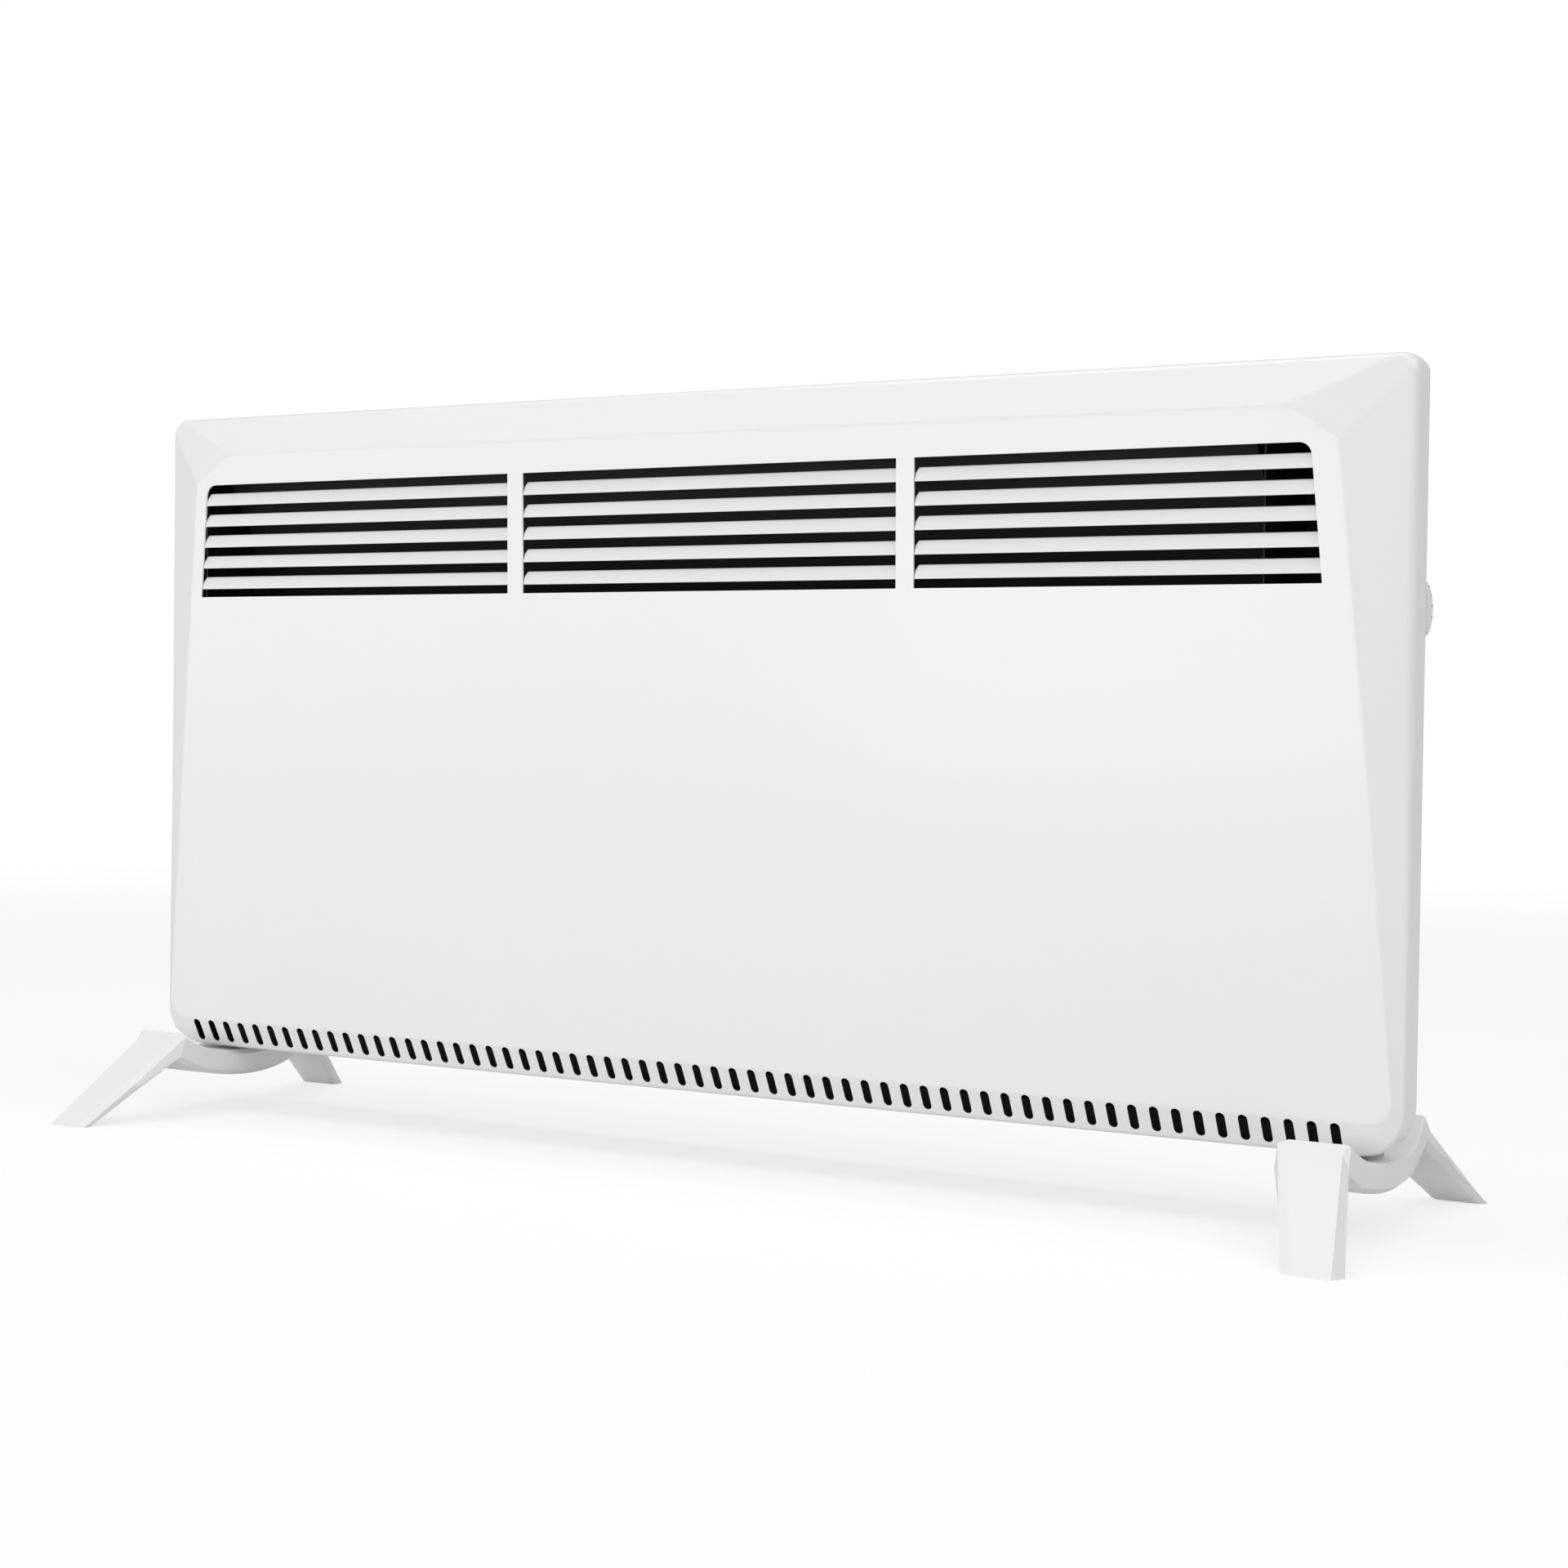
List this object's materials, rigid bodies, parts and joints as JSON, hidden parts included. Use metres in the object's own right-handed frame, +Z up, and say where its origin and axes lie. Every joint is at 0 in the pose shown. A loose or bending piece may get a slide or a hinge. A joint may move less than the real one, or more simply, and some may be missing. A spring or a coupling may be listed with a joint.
{
  "type": "convector heater",
  "caption": "White electric panel convector heater on two splayed feet, with a slatted warm air grille, lower air slots and a side thermostat knob with rocker switches.",
  "frame": {"origin": "centre of the bounding box on the floor, between the feet", "axes": "+X along the panel's width towards the control side, +Y to the rear, +Z up"},
  "size_m": [0.837, 0.252, 0.4485],
  "materials": {
    "white_paint": "satin powder coat",
    "white_plastic": "fine satin moulding",
    "dark_plastic": "satin",
    "galvanised": "zinc coated sheet",
    "aluminium": "raw extrusion",
    "ceramic": "unglazed ceramic",
    "screw_steel": "bright zinc",
    "lamp_lens": "gloss",
    "lead_sleeve": "silicone sleeve"
  },
  "bodies": {
    "heater": {"front_casing": "white_paint", "rear_cover": "white_paint", "cover_screw_1": "screw_steel", "cover_screw_2": "screw_steel", "cover_screw_3": "screw_steel", "cover_screw_4": "screw_steel", "cover_screw_5": "screw_steel", "cover_screw_6": "screw_steel", "cover_screw_7": "screw_steel", "hanger_plate_left": "galvanised", "foot_left": "white_plastic", "foot_screw_left_front": "screw_steel", "foot_screw_left_rear": "screw_steel", "hanger_plate_right": "galvanised", "foot_right": "white_plastic", "foot_screw_right_front": "screw_steel", "foot_screw_right_rear": "screw_steel", "element_bar_lower": "aluminium", "element_rod_lower": "galvanised", "ceramic_bush_lower_left": "ceramic", "ceramic_bush_lower_right": "ceramic", "element_bar_upper": "aluminium", "element_rod_upper": "galvanised", "ceramic_bush_upper_left": "ceramic", "ceramic_bush_upper_right": "ceramic", "element_bracket_left": "galvanised", "element_bracket_right": "galvanised", "element_link": "lead_sleeve", "heat_shield": "galvanised", "air_deflector": "galvanised", "cutout_bracket": "galvanised", "thermal_cutout": "dark_plastic", "control_partition": "galvanised", "control_bezel": "white_plastic", "thermostat_body": "dark_plastic", "switch_body_upper": "dark_plastic", "switch_body_lower": "dark_plastic", "indicator_lamp": "lamp_lens", "bezel_screw_lower": "screw_steel", "bezel_screw_upper": "screw_steel", "terminal_block": "ceramic", "tilt_switch": "dark_plastic", "cord_gland": "dark_plastic", "supply_lead": "lead_sleeve", "element_lead_lower": "lead_sleeve", "element_lead_upper": "lead_sleeve"},
    "knob": {"thermostat_knob": "white_plastic", "thermostat_shaft": "galvanised"},
    "key_upper": {"rocker_key_upper": "dark_plastic"},
    "key_lower": {"rocker_key_lower": "dark_plastic"}
  },
  "joints": [
    {"name": "knob_turn", "type": "hinge", "parent": "heater", "child": "knob", "pos_m": [0.4026, 0.019, 0.321], "axis": [1, 0, 0], "range_deg": [0, 270]},
    {"name": "key_upper_rock", "type": "hinge", "parent": "heater", "child": "key_upper", "pos_m": [0.4008, 0.019, 0.256], "axis": [0, -1, 0], "range_deg": [0, 14]},
    {"name": "key_lower_rock", "type": "hinge", "parent": "heater", "child": "key_lower", "pos_m": [0.4008, 0.019, 0.22792], "axis": [0, -1, 0], "range_deg": [0, 14]}
  ]
}
